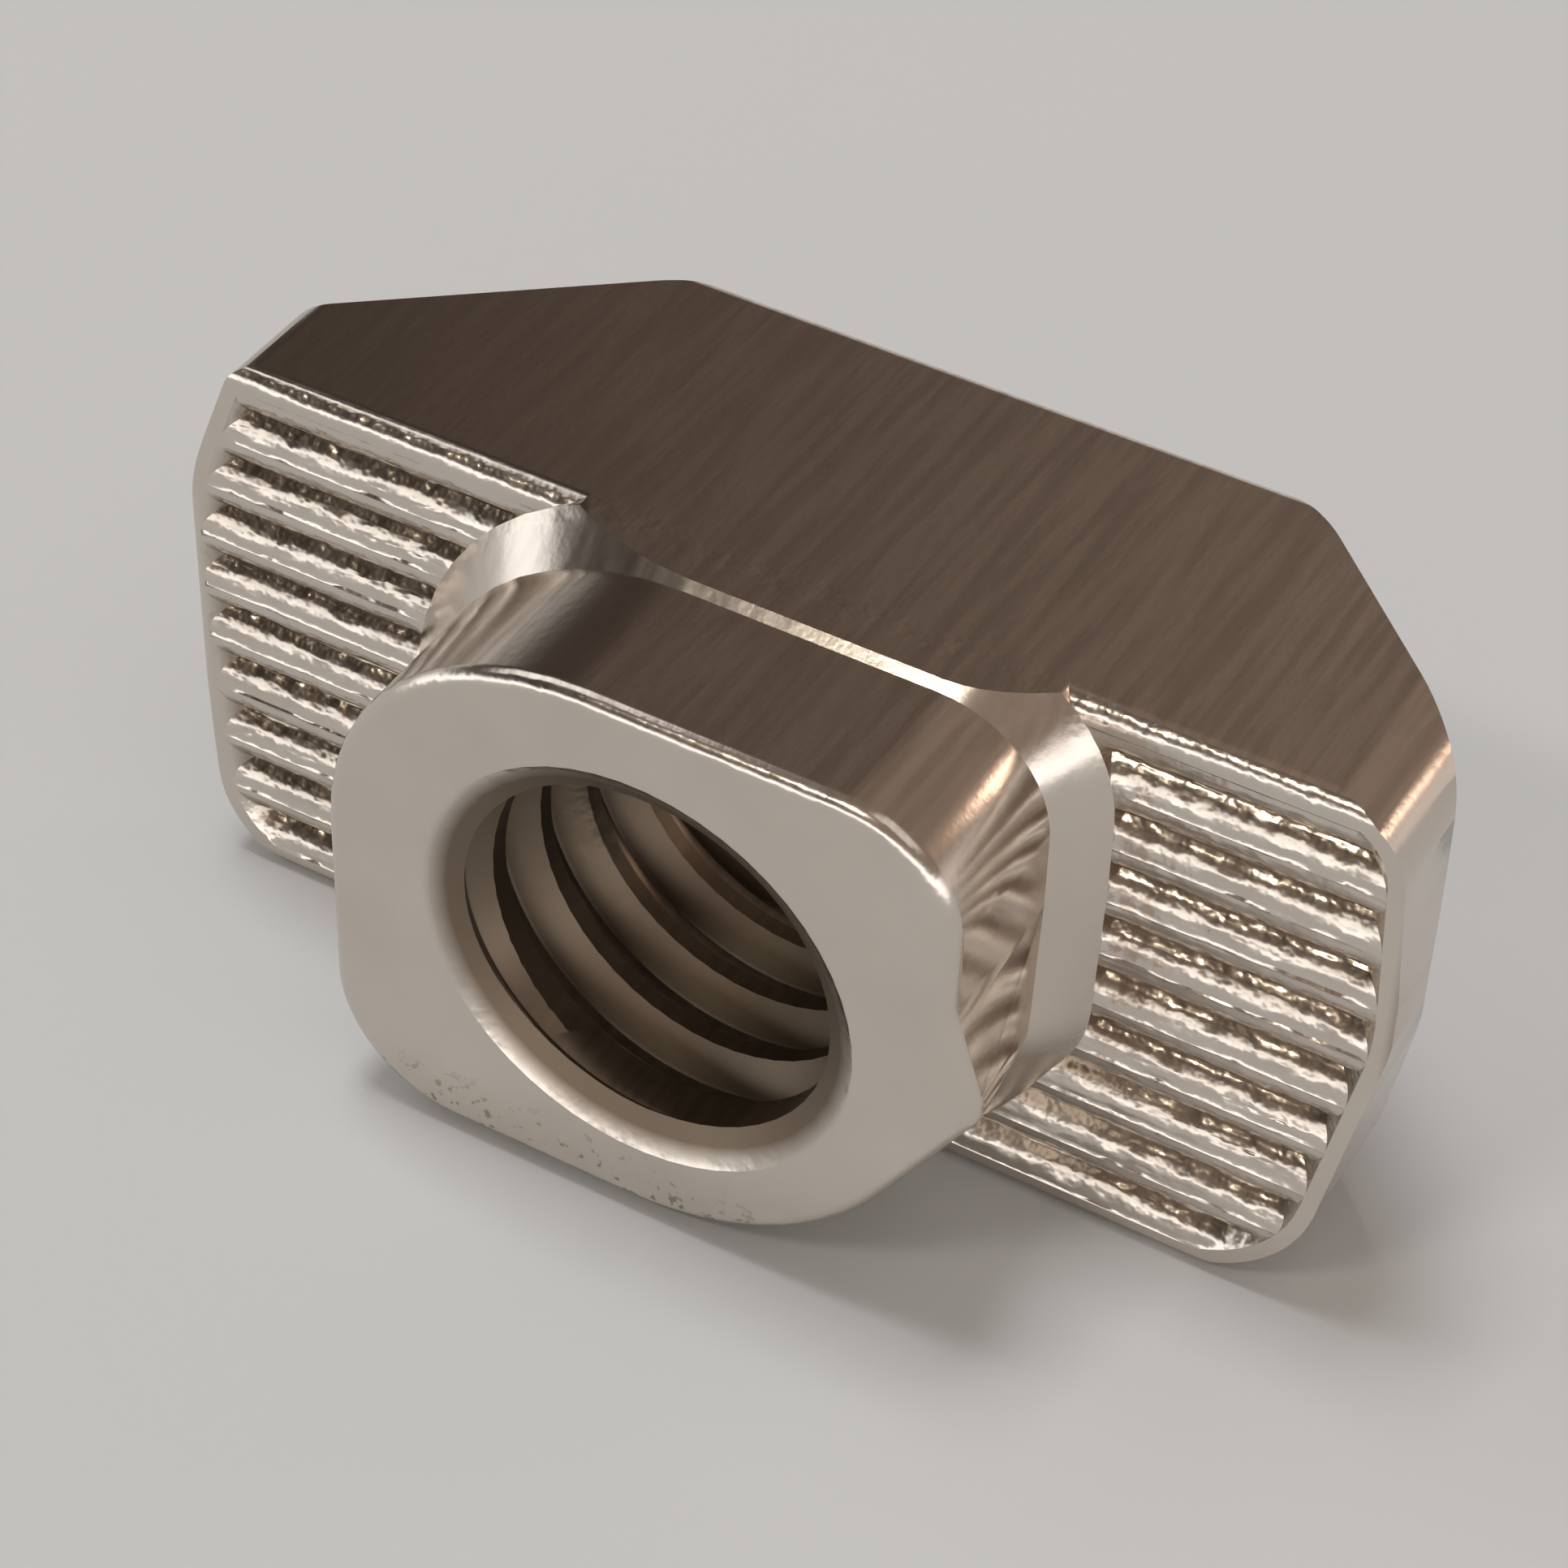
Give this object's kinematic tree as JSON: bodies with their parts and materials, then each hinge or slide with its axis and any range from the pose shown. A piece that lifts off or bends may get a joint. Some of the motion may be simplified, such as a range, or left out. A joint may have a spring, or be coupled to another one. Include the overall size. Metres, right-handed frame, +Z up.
{
  "type": "t-slot nut",
  "caption": "Hammer-head nut for a T-slot rail: a long bevelled head with serrated shoulders and a short square neck, with a threaded hole through both.",
  "frame": {"origin": "on the screw axis, in the plane of the serrated shoulders' crests", "axes": "+X along the head, -Y out of the neck along the screw axis, +Z up, with the nut resting on one long side of its head"},
  "size_m": [0.0164, 0.0074, 0.008],
  "materials": {
    "plated_steel": "bright nickel plate, slightly streaked"
  },
  "bodies": {
    "root": {"hammer_nut": "plated_steel"}
  },
  "joints": []
}
